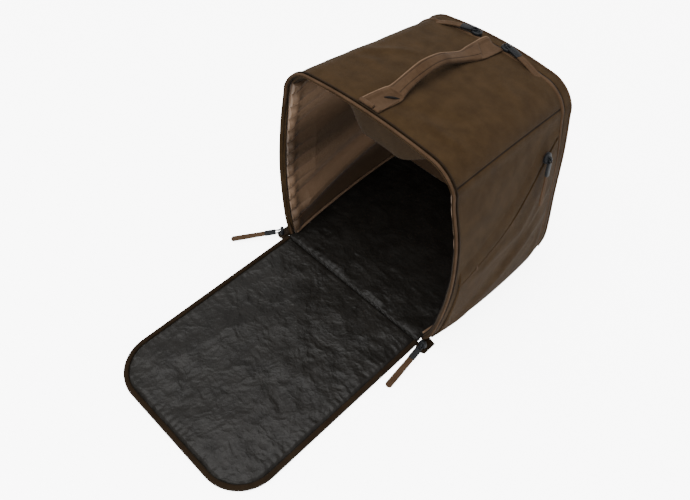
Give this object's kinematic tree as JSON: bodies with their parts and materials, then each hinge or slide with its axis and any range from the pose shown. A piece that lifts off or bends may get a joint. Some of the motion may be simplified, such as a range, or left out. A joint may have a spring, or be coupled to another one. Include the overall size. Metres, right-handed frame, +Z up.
{
  "type": "ski boot bag",
  "caption": "Arched soft bag for ski or snowboard boots; the front panel unzips and lies flat as a standing mat, with a zipped rear cover and side pockets.",
  "frame": {"origin": "centre of the base panel's underside, half way between the mouth and the back, on the ground", "axes": "+Z up; +Y from the mouth to the back, so the open front panel lies towards -Y; +X to the right as seen facing the mouth"},
  "size_m": [0.4091, 0.6735, 0.3972],
  "materials": {
    "main_fabric": "matte plain-weave polyester, khaki brown",
    "webbing": "matte ribbed webbing and tape, lighter brown",
    "satin_lining": "smooth satin lining over padding, brown",
    "tarpaulin": "crinkled coated tarpaulin, black, semi-gloss",
    "foam": "soft closed-cell foam",
    "black_plastic": "satin moulded plastic and painted metal",
    "zip_coil": "satin nylon coil"
  },
  "bodies": {
    "bag": {"base_panel": "main_fabric", "floor_liner": "tarpaulin", "hinge_strip": "tarpaulin", "left_side_panel": "main_fabric", "top_panel": "main_fabric", "right_side_panel": "main_fabric", "left_lining": "satin_lining", "top_lining": "satin_lining", "right_lining": "satin_lining", "mouth_zip_teeth": "zip_coil", "mouth_zip_tape": "webbing", "mouth_binding": "webbing", "rear_zip_tape": "webbing", "rear_zip_teeth": "zip_coil", "left_pocket_panel": "main_fabric", "right_pocket_panel": "main_fabric", "left_pocket_zip": "zip_coil", "right_pocket_zip": "zip_coil", "handle_base_webbing": "webbing", "handle_front_anchor": "webbing", "handle_rear_anchor": "webbing"},
    "front_panel": {"front_panel_shell": "main_fabric", "front_panel_foam": "foam", "front_panel_mat": "tarpaulin", "front_panel_binding": "webbing", "front_panel_zip_teeth": "zip_coil"},
    "rear_cover": {"rear_cover_zip_teeth": "zip_coil", "rear_cover_gusset": "main_fabric", "rear_cover_piping": "webbing", "rear_cover_panel": "main_fabric", "rear_cover_foam": "foam", "rear_cover_lining": "satin_lining"},
    "handle": {"handle_webbing": "webbing", "handle_grip": "webbing"},
    "mouth_left_slider": {"mouth_left_slider": "black_plastic"},
    "mouth_left_pull": {"mouth_left_pull_tab": "black_plastic", "mouth_left_pull_loop": "webbing"},
    "mouth_right_slider": {"mouth_right_slider": "black_plastic"},
    "mouth_right_pull": {"mouth_right_pull_tab": "black_plastic", "mouth_right_pull_loop": "webbing"},
    "rear_left_slider": {"rear_left_slider": "black_plastic"},
    "rear_left_pull": {"rear_left_pull_tab": "black_plastic", "rear_left_pull_loop": "webbing"},
    "rear_right_slider": {"rear_right_slider": "black_plastic"},
    "rear_right_pull": {"rear_right_pull_tab": "black_plastic", "rear_right_pull_loop": "webbing"},
    "left_pocket_slider": {"left_pocket_slider": "black_plastic"},
    "left_pocket_pull": {"left_pocket_pull_tab": "black_plastic", "left_pocket_pull_loop": "webbing"},
    "right_pocket_slider": {"right_pocket_slider": "black_plastic"},
    "right_pocket_pull": {"right_pocket_pull_tab": "black_plastic", "right_pocket_pull_loop": "webbing"}
  },
  "joints": [
    {"name": "front_panel_hinge", "type": "hinge", "parent": "bag", "child": "front_panel", "pos_m": [0, -0.151, 0.006], "axis": [-1, 0, 0], "range_deg": [0, 90]},
    {"name": "rear_cover_hinge", "type": "hinge", "parent": "bag", "child": "rear_cover", "pos_m": [0, 0.1495, 0.0045], "axis": [-1, 0, 0], "range_deg": [0, 86]},
    {"name": "handle_swing", "type": "hinge", "parent": "bag", "child": "handle", "pos_m": [0, -0.116, 0.37853], "axis": [0, -0.9932, 0.1164], "range_deg": [0, 80]},
    {"name": "mouth_left_slide", "type": "slide", "parent": "bag", "child": "mouth_left_slider", "axis": [0, 0, 1], "range_m": [0, 0.27]},
    {"name": "mouth_right_slide", "type": "slide", "parent": "bag", "child": "mouth_right_slider", "axis": [0, 0, 1], "range_m": [0, 0.27]},
    {"name": "rear_left_slide", "type": "slide", "parent": "bag", "child": "rear_left_slider", "axis": [-1, 0, 0], "range_m": [0, 0.06]},
    {"name": "rear_right_slide", "type": "slide", "parent": "bag", "child": "rear_right_slider", "axis": [1, 0, 0], "range_m": [0, 0.06]},
    {"name": "left_pocket_slide", "type": "slide", "parent": "bag", "child": "left_pocket_slider", "axis": [-0.1375, -0.9176, -0.373], "range_m": [0, 0.1]},
    {"name": "right_pocket_slide", "type": "slide", "parent": "bag", "child": "right_pocket_slider", "axis": [0.2082, -0.9061, -0.3683], "range_m": [0, 0.1]},
    {"name": "mouth_left_pull_swing", "type": "hinge", "parent": "mouth_left_slider", "child": "mouth_left_pull", "pos_m": [-0.16376, -0.15928, 0.0125], "axis": [-0.8, 0.6, 0], "range_deg": [0, 85]},
    {"name": "mouth_right_pull_swing", "type": "hinge", "parent": "mouth_right_slider", "child": "mouth_right_pull", "pos_m": [0.16157, -0.15819, 0.0125], "axis": [-0.9968, -0.0797, 0], "range_deg": [0, 85]},
    {"name": "rear_left_pull_swing", "type": "hinge", "parent": "rear_left_slider", "child": "rear_left_pull", "pos_m": [-0.029, 0.1307, 0.34998], "axis": [-0.1386, 0.9903, 0], "range_deg": [0, 100]},
    {"name": "rear_right_pull_swing", "type": "hinge", "parent": "rear_right_slider", "child": "rear_right_pull", "pos_m": [0.026, 0.1307, 0.34998], "axis": [-0.158, -0.9874, 0], "range_deg": [0, 100]},
    {"name": "left_pocket_pull_swing", "type": "hinge", "parent": "left_pocket_slider", "child": "left_pocket_pull", "pos_m": [-0.15923, 0.07463, 0.25936], "axis": [0.0581, 0.9983, 0], "range_deg": [0, 90]},
    {"name": "right_pocket_pull_swing", "type": "hinge", "parent": "right_pocket_slider", "child": "right_pocket_pull", "pos_m": [0.1656, 0.07529, 0.25977], "axis": [0.1205, -0.9927, 0], "range_deg": [0, 90]}
  ]
}
